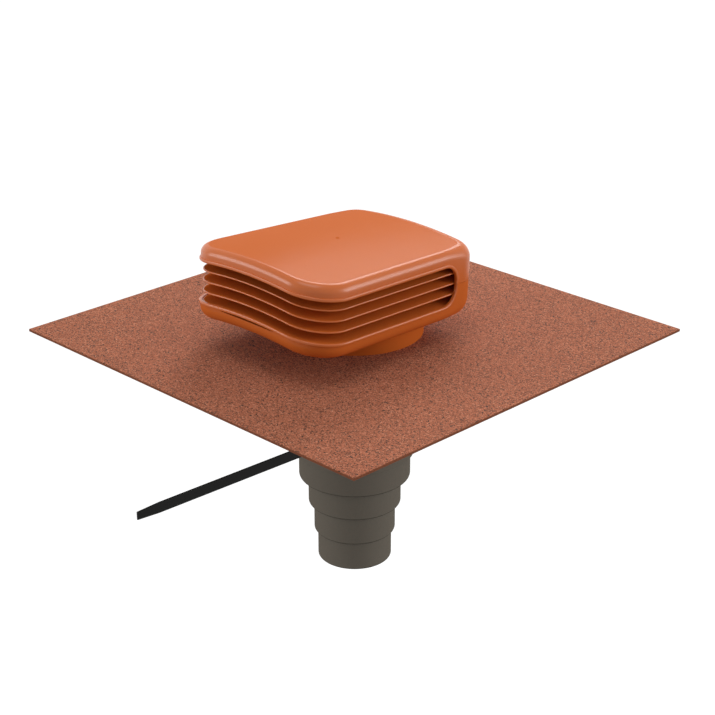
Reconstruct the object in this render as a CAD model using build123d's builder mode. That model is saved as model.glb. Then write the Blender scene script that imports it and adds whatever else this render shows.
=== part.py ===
"""Roof vent terminal: a crowned louvred hood on a roof-felt sheet, with a sleeve and a stepped duct adapter below.

The underside of the sheet is the roof plane, z = 0, and the duct's axis is Z. The hood faces -Y and its
closed back stands towards +Y. All lengths are millimetres and all angles are degrees.
"""
import math
import os

from build123d import *

os.makedirs("parts", exist_ok=True)

# Roof-felt sheet
sheet_side = 600.0
sheet_thickness = 4.0
sheet_hole_gap = 1.0

# Sleeve through the roof, with its plate let into the sheet's underside
sleeve_diameter = 160.0
sleeve_wall = 4.7
sleeve_drop = 169.0
sleeve_upstand = 9.0
sleeve_chamfer = 1.5
plate_diameter = 300.0
plate_thickness = 2.0

# Stepped adapter, pushed up into the sleeve; the first step fits the sleeve's bore
adapter_diameters = (125.0, 110.0, 100.0)
adapter_step_length = 41.0
adapter_first_exposed = 35.9
adapter_insertion = 60.0
adapter_wall = 3.0
adapter_edge_radius = 2.8
push_fit = 0.3

# Cable tie round the sleeve, with its tail left long
tie_width = 13.9
tie_thickness = 2.0
tie_drop = 91.1
tie_turn = -2.9
tie_tail_length = 408.4
tie_tip_width = 10.3
tie_tip_length = 31.0
tie_head_length = 18.0
tie_head_depth = 9.0
tie_head_overhang = 2.0
tie_fit = 0.3

# Hood plan, in a plane pitched down towards the back
hood_pitch = 3.15
hood_front_width = 249.8
hood_back_width = 224.1
hood_front_reach = 190.2
hood_back_reach = 111.4
front_corner_radius = 54.7
back_corner_radius = 32.0
crown_radius = 712.0

# Hood levels above the sheet, at the crown
pan_underside = 35.6
pan_depth = 24.0
opening_height = 52.2
cover_rise = 18.7
hood_wall = 2.5
top_edge_radius = 9.3
pan_edge_radius = 16.0
seam_gap = 0.3

# Opening in the hood's front and sides, with a bead round its edge
opening_back = 65.5
opening_end_radius = 17.0
bead_height = 4.4
bead_proud = 1.7
bead_round = 0.3
drip_slot_length = 100.0
drip_slot_height = 2.4
gate_mark_diameter = 5.0
gate_mark_depth = 0.4
gate_mark_front = 37.0

# Louvre rings, stacked on posts
louvre_names = ("louvre_bottom", "louvre_lower", "louvre_middle", "louvre_upper")
louvre_pitch = 14.0
louvre_sink = 2.0
louvre_thickness = 2.2
louvre_depth = 52.0
louvre_gap = 0.5
louvre_edge_round = 0.9
post_spacing = 160.0
post_front = 142.0
post_back = 60.0
post_diameter = 14.0

# Screws up through the posts into the cover
screw_diameter = 4.0
screw_head_diameter = 8.0
screw_head_height = 3.0
screw_bite = 12.0
screw_seat_rise = 2.0
screw_gap = 0.2
recess_length = 4.6
recess_width = 1.1
recess_depth = 1.6

# Collar under the hood and its seal round the sleeve
collar_diameter = 180.0
collar_wall = 3.0
seal_height = 14.0
seal_base_height = 5.0
seal_lip = 1.6
seal_gap = 0.1

# Levels of the hood, worked out from the sizes above
rim_level = pan_underside + pan_depth
lip_level = rim_level + opening_height
top_level = lip_level + cover_rise
seam_level = (rim_level + lip_level) / 2
louvre_start = rim_level - louvre_sink
wall_inset = bead_proud
inner_inset = wall_inset + hood_wall
louvre_inset = inner_inset + louvre_gap
boss_level = louvre_start + louvre_pitch * len(louvre_names) - louvre_thickness / 2
screw_seat = pan_underside + screw_seat_rise
screw_top = boss_level + screw_bite

# Reach of the cutting slabs, past the hood on every side
slab_margin = 24.0
slab_half = hood_front_width / 2 + slab_margin
slab_reach = hood_front_reach + hood_back_reach
slab_sag = crown_radius - math.sqrt(crown_radius**2 - slab_half**2)

# Planes of the hood: its plan and its cross-section, which looks back along the hood
pitch = math.radians(hood_pitch)
hood_origin = (0, 0, sheet_thickness)
hood_plan_plane = Plane(hood_origin, x_dir=(1, 0, 0), z_dir=(0, math.sin(pitch), math.cos(pitch)))
hood_section_plane = Plane(hood_origin, x_dir=(1, 0, 0), z_dir=(0, -math.cos(pitch), math.sin(pitch)))

post_places = [(x, y) for x in (-post_spacing / 2, post_spacing / 2) for y in (-post_front, post_back)]


def hood_plan(inset):
    """Plan of the hood, a tapered box with round corners, its edge moved in by inset."""
    with BuildSketch() as plan:
        with BuildLine():
            Polyline(
                (-hood_front_width / 2, -hood_front_reach),
                (hood_front_width / 2, -hood_front_reach),
                (hood_back_width / 2, hood_back_reach),
                (-hood_back_width / 2, hood_back_reach),
                close=True,
            )
        make_face()
        fillet(plan.vertices().group_by(Axis.Y)[0], front_corner_radius)
        fillet(plan.vertices().group_by(Axis.Y)[-1], back_corner_radius)
        if inset:
            offset(amount=-inset)
    return plan.sketch


def crown_band(low, high, half):
    """Cross-section between two equal crowns whose middles are at low and high, half as wide each way."""
    sag = crown_radius - math.sqrt(crown_radius**2 - half**2)
    with BuildSketch() as band:
        with BuildLine():
            ThreePointArc((-half, low - sag), (0, low), (half, low - sag))
            Line((half, low - sag), (half, high - sag))
            ThreePointArc((half, high - sag), (0, high), (-half, high - sag))
            Line((-half, high - sag), (-half, low - sag))
        make_face()
    return band.sketch


def crowned_block(inset, low, high):
    """Solid block on the hood's plan, between two crowns."""
    with BuildPart() as block:
        with BuildSketch(hood_plan_plane.offset(low - slab_sag)):
            add(hood_plan(inset))
        extrude(amount=high - low + slab_sag)
        with BuildSketch(hood_section_plane):
            add(crown_band(low, high, slab_half))
        extrude(amount=slab_reach, both=True, mode=Mode.INTERSECT)
    return block.part


def rounded_block(inset, low, high, radius, top):
    """Crowned block whose top edge, or else its bottom edge, is rounded."""
    with BuildPart() as block:
        add(crowned_block(inset, low, high))
        crowned_faces = block.faces().sort_by(Axis.Z)
        fillet((crowned_faces[-1] if top else crowned_faces[0]).edges(), radius)
    return block.part


def opening_slab(margin):
    """Space between rim and lip, open to the front, with a round back end, grown by margin."""
    with BuildPart() as slab:
        with BuildSketch(hood_section_plane.offset(-(opening_back + margin))):
            add(crown_band(rim_level - margin, lip_level + margin, slab_half))
        extrude(amount=slab_reach)
        fillet(slab.faces().sort_by(Axis.Y)[-1].edges().filter_by(GeomType.CIRCLE), opening_end_radius + margin)
    return slab.part


def bead(low, high):
    """Bead round the opening's edge, as far as it lies between two crowns, its two outer edges rounded."""
    with BuildPart() as ring:
        add(crowned_block(0, low, high))
        add(opening_slab(bead_height), mode=Mode.INTERSECT)
        add(opening_slab(0), mode=Mode.SUBTRACT)
        outline = hood_plan(0).wire()
        outer_edges = []
        for edge in ring.edges():
            middle = hood_plan_plane.to_local_coords(edge @ 0.5)
            outside = outline.distance_to(Vertex(middle.X, middle.Y, 0)) < 0.01
            if outside and edge.length > 2 * bead_height:
                outer_edges.append(edge)
        fillet(outer_edges, bead_round)
    return ring.part


def posts(low, high, diameter):
    """Four round posts between two crowns."""
    with BuildPart() as columns:
        with BuildSketch(hood_plan_plane.offset(low - slab_sag)):
            with Locations(*post_places):
                Circle(diameter / 2)
        extrude(amount=high - low + slab_sag)
        with BuildSketch(hood_section_plane):
            add(crown_band(low, high, slab_half))
        extrude(amount=slab_reach, both=True, mode=Mode.INTERSECT)
    return columns.part


def post_bores(low, high, diameter):
    """Four straight bores on the posts' axes, flat at both ends."""
    with BuildPart() as bores:
        with BuildSketch(hood_plan_plane.offset(low)):
            with Locations(*post_places):
                Circle(diameter / 2)
        extrude(amount=high - low)
    return bores.part


def write(piece, name):
    """Labels a finished piece and writes its file."""
    piece.label = name
    export_step(piece, f"parts/{name}.step")


# Cover: the hood's top, down to the seam at the closed back and to the lip elsewhere
screw_bore = screw_diameter + 2 * screw_gap
with BuildPart() as hood_cover:
    add(rounded_block(wall_inset, seam_level + seam_gap, top_level, top_edge_radius, True))
    add(bead(seam_level + seam_gap, top_level))
    cover_hollow = rounded_block(
        inner_inset, rim_level, top_level - hood_wall, top_edge_radius - hood_wall, True
    )
    add(cover_hollow, mode=Mode.SUBTRACT)
    add(opening_slab(0), mode=Mode.SUBTRACT)
    add(posts(boss_level, top_level - hood_wall / 2, post_diameter))
    add(post_bores(rim_level, screw_top + screw_gap, screw_bore), mode=Mode.SUBTRACT)
    with BuildSketch(hood_plan_plane.offset(top_level - gate_mark_depth)):
        with Locations((0, -gate_mark_front)):
            Circle(gate_mark_diameter / 2)
    extrude(amount=hood_wall, mode=Mode.SUBTRACT)
write(hood_cover.part, "hood_cover")

# Louvre rings: equal crowned plates with a wide middle opening, each with four spacer posts on it
for place, louvre_name in enumerate(louvre_names):
    louvre_level = louvre_start + louvre_pitch * place
    plate_low = louvre_level - louvre_thickness / 2
    plate_high = louvre_level + louvre_thickness / 2
    with BuildPart() as louvre:
        add(crowned_block(louvre_inset, plate_low, plate_high))
        fillet(louvre.faces().sort_by(SortBy.AREA)[-2:].edges(), louvre_edge_round)
        with BuildSketch(hood_plan_plane.offset(plate_low - slab_sag)):
            add(hood_plan(louvre_inset + louvre_depth))
        extrude(amount=louvre_thickness + slab_sag, mode=Mode.SUBTRACT)
        add(posts(plate_low, plate_low + louvre_pitch, post_diameter))
        add(post_bores(plate_low - slab_sag, plate_high + louvre_pitch, screw_bore), mode=Mode.SUBTRACT)
    write(louvre.part, louvre_name)

# Base: a shallow pan with a collar below, its back wall raised to the seam, and four posts inside
collar_bore = collar_diameter - 2 * collar_wall
with BuildPart() as hood_base:
    add(rounded_block(wall_inset, pan_underside, seam_level, pan_edge_radius, False))
    add(bead(pan_underside, seam_level))
    with BuildSketch(Plane.XY.offset(sheet_thickness)):
        Circle(collar_diameter / 2)
    extrude(amount=pan_underside + hood_wall)
    pan_hollow = rounded_block(
        inner_inset, pan_underside + hood_wall, lip_level, pan_edge_radius - hood_wall, False
    )
    add(pan_hollow, mode=Mode.SUBTRACT)
    add(opening_slab(0), mode=Mode.SUBTRACT)
    with BuildSketch(Plane.XY.offset(sheet_thickness)):
        Circle(collar_bore / 2)
    extrude(amount=rim_level, mode=Mode.SUBTRACT)
    add(posts(pan_underside, louvre_start - louvre_thickness / 2, post_diameter))
    add(post_bores(0, screw_seat, screw_head_diameter + 2 * screw_gap), mode=Mode.SUBTRACT)
    add(post_bores(0, lip_level, screw_bore), mode=Mode.SUBTRACT)
    slot_high = rim_level - bead_height
    with BuildSketch(hood_section_plane.offset(hood_front_reach - 2 * inner_inset)):
        add(crown_band(slot_high - drip_slot_height, slot_high, drip_slot_length / 2))
    extrude(amount=2 * inner_inset, mode=Mode.SUBTRACT)
write(hood_base.part, "hood_base")

# Screws: four, from under the pan up through the posts, with a cross recess in each head
with BuildPart() as hood_screws:
    with BuildSketch(hood_plan_plane.offset(screw_seat - screw_head_height)):
        with Locations(*post_places):
            Circle(screw_head_diameter / 2)
    extrude(amount=screw_head_height)
    with BuildSketch(hood_plan_plane.offset(screw_seat)):
        with Locations(*post_places):
            Circle(screw_diameter / 2)
    extrude(amount=screw_top - screw_seat)
    with BuildSketch(hood_plan_plane.offset(screw_seat - screw_head_height)):
        with Locations(*post_places):
            Rectangle(recess_length, recess_width)
            Rectangle(recess_width, recess_length)
    extrude(amount=recess_depth, mode=Mode.SUBTRACT)
write(hood_screws.part, "hood_screws")

# Roof-felt sheet, with a round hole for the sleeve and a round recess underneath for its plate
with BuildPart() as felt_sheet:
    with BuildSketch():
        Rectangle(sheet_side, sheet_side)
        Circle(sleeve_diameter / 2 + sheet_hole_gap, mode=Mode.SUBTRACT)
    extrude(amount=sheet_thickness)
    with BuildSketch():
        Circle(plate_diameter / 2 + sheet_hole_gap)
    extrude(amount=plate_thickness, mode=Mode.SUBTRACT)
write(felt_sheet.part, "felt_sheet")

# Sleeve: one tube with a plate that the sheet is fused to
sleeve_radius = sleeve_diameter / 2
sleeve_bore_radius = sleeve_radius - sleeve_wall
sleeve_top = sheet_thickness + pan_underside + hood_wall + sleeve_upstand
with BuildPart() as roof_sleeve:
    with BuildSketch(Plane.XY.offset(-sleeve_drop)):
        Circle(sleeve_radius)
        Circle(sleeve_bore_radius, mode=Mode.SUBTRACT)
    extrude(amount=sleeve_drop + sleeve_top)
    chamfer(roof_sleeve.faces().sort_by(Axis.Z)[-1].outer_wire().edges(), sleeve_chamfer)
    with BuildSketch():
        Circle(plate_diameter / 2)
        Circle((sleeve_radius + sleeve_bore_radius) / 2, mode=Mode.SUBTRACT)
    extrude(amount=plate_thickness)
write(roof_sleeve.part, "roof_sleeve")

# Seal: a rubber ring on the sheet, between the sleeve and the hood's collar, with a thin lip upwards
with BuildPart() as neck_seal:
    seal_inner = sleeve_radius + seal_gap
    seal_outer = collar_bore / 2 - seal_gap
    with BuildSketch(Plane.XZ):
        with BuildLine():
            Polyline(
                (seal_inner, sheet_thickness),
                (seal_outer, sheet_thickness),
                (seal_outer, sheet_thickness + seal_base_height),
                (seal_inner + seal_lip, sheet_thickness + seal_height),
                (seal_inner, sheet_thickness + seal_height),
                close=True,
            )
        make_face()
    revolve(axis=Axis.Z)
write(neck_seal.part, "neck_seal")

# Adapter: a stepped tube, each step narrower than the one above it
step_radii = [sleeve_bore_radius - push_fit] + [diameter / 2 for diameter in adapter_diameters]
step_ends = [-sleeve_drop - adapter_first_exposed - adapter_step_length * place for place in range(len(step_radii))]
adapter_top = adapter_insertion - sleeve_drop
outer_points = []
inner_points = []
step_top = adapter_top
for step_radius, step_end in zip(step_radii, step_ends):
    outer_points += [(step_radius, step_top), (step_radius, step_end)]
    last_step = step_end == step_ends[-1]
    inner_end = step_end if last_step else step_end + adapter_wall
    inner_start = step_top if step_top == adapter_top else step_top + adapter_wall
    inner_points += [(step_radius - adapter_wall, inner_start), (step_radius - adapter_wall, inner_end)]
    step_top = step_end
with BuildPart() as duct_adapter:
    with BuildSketch(Plane.XZ):
        with BuildLine():
            Polyline(*outer_points, *reversed(inner_points), close=True)
        make_face()
    revolve(axis=Axis.Z)
    for step_radius, step_end in zip(step_radii, step_ends):
        circles = duct_adapter.edges().filter_by(GeomType.CIRCLE)
        rims = circles.filter_by_position(Axis.Z, step_end - 0.1, step_end + 0.1)
        fillet(rims.sort_by(SortBy.RADIUS)[-1], adapter_edge_radius)
write(duct_adapter.part, "duct_adapter")

# Cable tie: a band, its locking head and a straight tail that leaves along a tangent, with a tapered tip
tie_inner = sleeve_radius + tie_fit
tie_outer = tie_inner + tie_thickness
tie_plane = Plane.XY.offset(-tie_drop).rotated((0, 0, tie_turn))
tie_side_plane = Plane.YZ.rotated((0, 0, tie_turn)).offset(tie_inner - tie_thickness)
with BuildPart() as cable_tie:
    with BuildSketch(tie_plane):
        Circle(tie_outer)
        Circle(tie_inner, mode=Mode.SUBTRACT)
        with Locations((tie_inner, 0)):
            Rectangle(tie_thickness, tie_tail_length, align=(Align.MIN, Align.MAX))
    extrude(amount=tie_width / 2, both=True)
    with BuildSketch(tie_plane):
        with Locations((tie_inner, 0)):
            Rectangle(tie_head_depth, tie_head_length, align=(Align.MIN, Align.MAX))
    extrude(amount=tie_width / 2 + tie_head_overhang, both=True)
    with BuildSketch(tie_side_plane):
        for side in (-1, 1):
            with BuildLine():
                Polyline(
                    (-tie_tail_length + tie_tip_length, -tie_drop + side * tie_width / 2),
                    (-tie_tail_length, -tie_drop + side * tie_width / 2),
                    (-tie_tail_length, -tie_drop + side * tie_tip_width / 2),
                    close=True,
                )
            make_face()
    extrude(amount=3 * tie_thickness, mode=Mode.SUBTRACT)
write(cable_tie.part, "cable_tie")
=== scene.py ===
import logging
import math
from dataclasses import dataclass, replace
from enum import Enum
from typing import Any, Optional, Sequence, Union

import bmesh
import bpy
import numpy as np
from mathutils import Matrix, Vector


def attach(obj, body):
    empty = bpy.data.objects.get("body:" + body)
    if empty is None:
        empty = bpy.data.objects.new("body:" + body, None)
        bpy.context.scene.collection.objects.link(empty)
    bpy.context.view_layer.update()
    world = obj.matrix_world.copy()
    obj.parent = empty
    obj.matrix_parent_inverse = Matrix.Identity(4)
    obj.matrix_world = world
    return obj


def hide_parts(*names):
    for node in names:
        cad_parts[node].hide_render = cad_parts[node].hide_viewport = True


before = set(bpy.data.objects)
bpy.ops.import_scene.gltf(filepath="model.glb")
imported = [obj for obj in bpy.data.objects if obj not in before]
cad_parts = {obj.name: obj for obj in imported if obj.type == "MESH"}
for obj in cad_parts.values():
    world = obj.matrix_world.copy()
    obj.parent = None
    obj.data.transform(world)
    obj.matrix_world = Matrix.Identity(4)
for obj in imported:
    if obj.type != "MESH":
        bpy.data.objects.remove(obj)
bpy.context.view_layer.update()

log = logging.getLogger("roof_vent")

CLOSE_SUPPORT = 0.0001
MERGE_DISTANCE = 2e-6
SLIVER = 1e-7
SHARP_ANGLE = math.radians(38)

Number = Union[int, float]
Colour = tuple[float, float, float, float]
Profile = Sequence[tuple[float, float]]


class Slot(Enum):
    """Material slots of the record, by name."""

    PLASTIC = "orange_plastic"
    FELT = "mineral_felt"
    GREY = "grey_plastic"
    NYLON = "black_nylon"


class Half(Enum):
    """The two halves of the hood's case; the value is the way from the opening into the half's wall."""

    COVER = 1.0
    BASE = -1.0


class Wire:
    """One output socket of a shader node, on which arithmetic adds Math nodes."""

    def __init__(self, shader: "Shader", socket: bpy.types.NodeSocket) -> None:
        """Keeps the socket and the shader that it belongs to."""
        self.shader = shader
        self.socket = socket

    def _math(self, operation: str, left: Any, right: Any) -> "Wire":
        """Adds one Math node on two values."""
        return self.shader.node("ShaderNodeMath", {"operation": operation}, {0: left, 1: right})

    def __add__(self, other: Any) -> "Wire":
        """Sum."""
        return self._math("ADD", self, other)

    def __radd__(self, other: Number) -> "Wire":
        """Sum with a number on the left."""
        return self._math("ADD", other, self)

    def __sub__(self, other: Any) -> "Wire":
        """Difference."""
        return self._math("SUBTRACT", self, other)

    def __rsub__(self, other: Number) -> "Wire":
        """Difference with a number on the left."""
        return self._math("SUBTRACT", other, self)

    def __mul__(self, other: Any) -> "Wire":
        """Product."""
        return self._math("MULTIPLY", self, other)

    def __rmul__(self, other: Number) -> "Wire":
        """Product with a number on the left."""
        return self._math("MULTIPLY", other, self)

    def __gt__(self, other: Any) -> "Wire":
        """One where the left value is the larger, and zero elsewhere."""
        return self._math("GREATER_THAN", self, other)

    def __lt__(self, other: Any) -> "Wire":
        """One where the right value is the larger, and zero elsewhere."""
        return self._math("LESS_THAN", self, other)

    def most(self, other: Any) -> "Wire":
        """The larger of two values."""
        return self._math("MAXIMUM", self, other)


class Shader:
    """A node tree that is filled by expressions."""

    def __init__(self, tree: bpy.types.NodeTree) -> None:
        """Empties the tree."""
        tree.nodes.clear()
        self.tree = tree

    def node(
        self,
        kind: str,
        settings: Optional[dict[str, Any]] = None,
        inputs: Optional[dict[Union[int, str], Any]] = None,
        output: Union[int, str] = 0,
    ) -> Wire:
        """Adds a node of any kind.

        Args:
            kind: Blender's name of the node's type.
            settings: The node's own settings, set first; "stops" holds a colour ramp's places and colours.
            inputs: Values or wires by socket name or number.
            output: The output socket that is handed back.

        Returns:
            The chosen output as a wire.
        """
        made = self.tree.nodes.new(kind)
        for name, value in (settings or {}).items():
            if name == "stops":
                elements = made.color_ramp.elements
                for place, _ in value[len(elements):]:
                    elements.new(place)
                for element, (place, colour) in zip(elements, value):
                    element.position = place
                    element.color = colour
            else:
                setattr(made, name, value)
        for name, value in (inputs or {}).items():
            if isinstance(value, Wire):
                self.tree.links.new(value.socket, made.inputs[name])
            else:
                made.inputs[name].default_value = value
        return Wire(self, made.outputs[output]) if len(made.outputs) else Wire(self, made.inputs[0])

    def object_place(self) -> Wire:
        """The shaded point in the piece's own coordinates."""
        return self.node("ShaderNodeTexCoord", output="Object")

    def noise(self, place: Wire, size: float, detail: float) -> Wire:
        """Noise from 0 to 1 with lumps of the given size in metres."""
        return self.node("ShaderNodeTexNoise", {}, {"Vector": place, "Scale": 1.0 / size, "Detail": detail}, "Fac")

    def blend(self, share: Any, first: Any, second: Any) -> Wire:
        """Colour between two colours."""
        return self.node("ShaderNodeMix", {"data_type": "RGBA"}, {0: share, 6: first, 7: second}, 2)

    def bump(self, height: Wire, depth: float) -> Wire:
        """Normal of a relief with the given depth in metres."""
        return self.node("ShaderNodeBump", {}, {"Height": height, "Distance": depth, "Strength": 1.0})

    def surface(self, shader: Wire, kind: str = "ShaderNodeOutputMaterial") -> None:
        """Ends the tree in an output node."""
        self.node(kind, {}, {"Surface": shader})

    def principled(self, inputs: dict[Union[int, str], Any]) -> None:
        """Ends the tree in a principled surface."""
        self.surface(self.node("ShaderNodeBsdfPrincipled", {}, inputs))


def srgb(red: int, green: int, blue: int) -> Colour:
    """Colour given as screen values from 0 to 255, turned into linear light.

    Args:
        red: Red on the screen.
        green: Green on the screen.
        blue: Blue on the screen.

    Returns:
        The linear colour, with full alpha.
    """
    screen = np.array([red, green, blue]) / 255.0
    linear = np.where(screen <= 0.04045, screen / 12.92, ((screen + 0.055) / 1.055) ** 2.4)
    return (float(linear[0]), float(linear[1]), float(linear[2]), 1.0)


def new_material(name: str) -> tuple[bpy.types.Material, Shader]:
    """An empty node material and the shader that fills it.

    Args:
        name: The material's name.

    Returns:
        The material and its shader.
    """
    material = bpy.data.materials.new(name)
    material.use_nodes = True
    return material, Shader(material.node_tree)


@dataclass(frozen=True)
class MouldedPlastic:
    """Moulded plastic: a fine grain, slight flow clouds, rubbed spots in the gloss, polished edges, and painted shade
    that darkens the colour where the mesh marks it.
    """

    name: str
    colour: Colour
    cloud_colour: Colour
    roughness: float
    grain: float = 0.0007
    grain_depth: float = 0.00003
    specular: float = 0.5
    coat_roughness: float = 0.27
    cloud_size: float = 0.09
    rubbed_size: float = 0.025
    rubbed_spread: float = 0.08
    grain_spread: float = 0.06
    rubbed_coat: float = 0.2
    # Painted shade: the dark colour that the base colour is blended towards where the shade attribute is set.
    painted_shade_colour: Colour = srgb(12, 11, 10)

    def build(self) -> bpy.types.Material:
        """Makes the node material.

        Returns:
            The material.
        """
        material, shader = new_material(self.name)
        place = shader.object_place()
        clouds = shader.noise(place, self.cloud_size, 3.0)
        grain = shader.noise(place, self.grain, 2.0)
        rubbed = shader.noise(place, self.rubbed_size, 4.0)
        gloss = self.roughness + (rubbed - 0.5) * self.rubbed_spread + (grain - 0.5) * self.grain_spread
        polish = shader.node("ShaderNodeAttribute", {"attribute_name": "polish"}, output="Fac")
        # Painted shade mask, read from the mesh's shade attribute.
        shade = shader.node("ShaderNodeAttribute", {"attribute_name": "shade"}, output="Fac")
        tint = shader.blend(clouds, self.colour, self.cloud_colour)
        shader.principled(
            {
                # Painted shade: the base colour darkens where the shade attribute marks shade.
                "Base Color": shader.blend(shade, tint, self.painted_shade_colour),
                "Roughness": gloss,
                "Specular IOR Level": self.specular,
                "Coat Weight": polish * (1.0 - self.rubbed_coat + self.rubbed_coat * rubbed),
                "Coat Roughness": self.coat_roughness,
                "Normal": shader.bump(grain, self.grain_depth),
            }
        )
        return material


@dataclass(frozen=True)
class MineralFelt:
    """Roof felt: coloured mineral granules pressed into bitumen on top, and a bare brown edge and underside."""

    name: str
    granule: float = 0.0013
    top_level: float = 0.0034
    patch_size: float = 0.06
    patch_start: float = 0.35
    patch_share: float = 0.5
    fibre: float = 0.0016
    relief_depth: float = 0.0005
    roughness: float = 0.86
    roughness_spread: float = 0.16
    specular: float = 0.15
    stone_colours: tuple[tuple[float, Colour], ...] = (
        (0.0, srgb(44, 38, 34)),
        (0.09, srgb(60, 49, 43)),
        (0.15, srgb(106, 74, 58)),
        (0.22, srgb(146, 87, 64)),
        (0.5, srgb(168, 100, 73)),
        (0.8, srgb(186, 112, 83)),
        (1.0, srgb(208, 142, 112)),
    )
    patch_colour: Colour = srgb(147, 87, 64)
    edge_colours: tuple[Colour, Colour] = (srgb(96, 52, 36), srgb(142, 84, 56))

    def build(self) -> bpy.types.Material:
        """Makes the node material.

        Returns:
            The material.
        """
        material, shader = new_material(self.name)
        place = shader.object_place()
        cells = {"Vector": place, "Scale": 1.0 / self.granule}
        cell_colour = shader.node("ShaderNodeTexVoronoi", {}, cells, "Color")
        cell_depth = shader.node("ShaderNodeTexVoronoi", {}, cells, "Distance")
        pick = shader.node("ShaderNodeSeparateColor", {}, {"Color": cell_colour}, "Red")
        granules = shader.node("ShaderNodeValToRGB", {"stops": self.stone_colours}, {"Fac": pick}, "Color")
        patches = shader.noise(place, self.patch_size, 3.0)
        stone = shader.blend((patches - self.patch_start) * self.patch_share, granules, self.patch_colour)
        height = shader.node("ShaderNodeSeparateXYZ", {}, {"Vector": place}, "Z")
        top = height > self.top_level
        fibres = shader.noise(place, self.fibre, 4.0)
        edge = shader.blend(fibres, *self.edge_colours)
        relief = (1.0 - cell_depth) * top + fibres * (1.0 - top)
        shader.principled(
            {
                "Base Color": shader.blend(top, edge, stone),
                "Roughness": self.roughness + (pick - 0.5) * self.roughness_spread,
                "Specular IOR Level": self.specular,
                "Normal": shader.bump(relief, self.relief_depth),
            }
        )
        return material


@dataclass(frozen=True)
class PlatedSteel:
    """Zinc-plated steel, with a faint spangle."""

    name: str
    spangle_size: float = 0.0015
    roughness: float = 0.3
    roughness_spread: float = 0.15
    colours: tuple[Colour, Colour] = (srgb(176, 178, 182), srgb(206, 208, 210))

    def build(self) -> bpy.types.Material:
        """Makes the node material.

        Returns:
            The material.
        """
        material, shader = new_material(self.name)
        spangle = shader.noise(shader.object_place(), self.spangle_size, 2.0)
        shader.principled(
            {
                "Base Color": shader.blend(spangle, *self.colours),
                "Metallic": 1.0,
                "Roughness": self.roughness + spangle * self.roughness_spread,
            }
        )
        return material


@dataclass(frozen=True)
class Grid:
    """A surface as points on a grid of two parameters."""

    points: np.ndarray
    wrap_rows: bool = False
    wrap_columns: bool = False
    left_out: Optional[np.ndarray] = None
    polish: Optional[np.ndarray] = None
    # How much painted shade darkens each point's colour, from 0 to 1.
    shade: Optional[np.ndarray] = None

    def tones(self, name: str) -> np.ndarray:
        """How polished each point is, or how much painted shade it has, from 0 to 1."""
        values = getattr(self, name)
        return np.zeros(self.points.shape[:2]) if values is None else values

    def quads(self) -> np.ndarray:
        """Corner numbers of the grid's quads, without those that are left out.

        Returns:
            One row of four numbers for each quad.
        """
        rows, columns = self.points.shape[:2]
        row = np.arange(rows if self.wrap_rows else rows - 1)[:, None]
        column = np.arange(columns if self.wrap_columns else columns - 1)[None, :]
        below = (row + 1) % rows
        beside = (column + 1) % columns
        corners = (row * columns + column, below * columns + column, below * columns + beside, row * columns + beside)
        quads = np.stack(np.broadcast_arrays(*corners), axis=-1)
        return quads[~self.left_out] if self.left_out is not None else quads.reshape(-1, 4)

    def end_caps(self) -> list["Grid"]:
        """Caps for a tube that is open at its first and last row: each end loop drawn in to its own middle."""
        return [
            Grid(np.stack([end, np.broadcast_to(end.mean(axis=0), end.shape)]), wrap_columns=True)
            for end in (self.points[0], self.points[-1])
        ]


def rounded_loop(corners: Profile, radii: Sequence[float], steps: int = 6, support: float = 0.0003) -> np.ndarray:
    """Closed profile: each corner of a polygon becomes a tangent arc, with a support point just outside each end.

    The arc's middle lies on the corner's bisector, radius / sin(half the corner) away, and its points turn evenly
    from one touching point to the other.

    Args:
        corners: The polygon's corners in order.
        radii: One radius for each corner.
        steps: Points on each arc.
        support: Distance of the support points from the arc's ends.

    Returns:
        The profile's points, one row each.
    """
    corner = np.array(corners, float)
    radius = np.array(radii, float)[:, None]
    before = np.roll(corner, 1, axis=0) - corner
    after = np.roll(corner, -1, axis=0) - corner
    before /= np.linalg.norm(before, axis=1, keepdims=True)
    after /= np.linalg.norm(after, axis=1, keepdims=True)
    opening = np.arccos(np.clip((before * after).sum(axis=1, keepdims=True), -1.0, 1.0))
    reach = radius / np.tan(opening / 2)
    bisector = before + after
    bisector /= np.maximum(np.linalg.norm(bisector, axis=1, keepdims=True), 1e-12)
    middle = corner + bisector * radius / np.sin(opening / 2)
    first = corner + before * reach - middle
    last = corner + after * reach - middle
    turn = np.maximum(math.pi - opening, 1e-6)[:, None]
    share = np.linspace(0.0, 1.0, steps)[None, :, None]
    arcs = (np.sin((1 - share) * turn) * first[:, None] + np.sin(share * turn) * last[:, None]) / np.sin(turn)
    arcs = arcs + middle[:, None]
    start = (corner + before * (reach + support))[:, None]
    end = (corner + after * (reach + support))[:, None]
    return np.concatenate([start, arcs, end], axis=1).reshape(-1, 2)


def full_turn(count: int) -> np.ndarray:
    """Angles spread evenly over a whole turn, as one column."""
    return np.linspace(0.0, 2 * math.pi, count, endpoint=False)[:, None]


def revolved(profile: np.ndarray, segments: int = 128) -> Grid:
    """Closed profile of radius and height, turned once round the Z axis.

    Args:
        profile: Radius and height of each point.
        segments: Steps round the axis.

    Returns:
        The closed surface.
    """
    angle = full_turn(segments)
    radius, height = profile[:, 0][None, :], profile[:, 1][None, :]
    points = np.stack(np.broadcast_arrays(radius * np.cos(angle), radius * np.sin(angle), height), axis=-1)
    return Grid(points, wrap_rows=True, wrap_columns=True)


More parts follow.
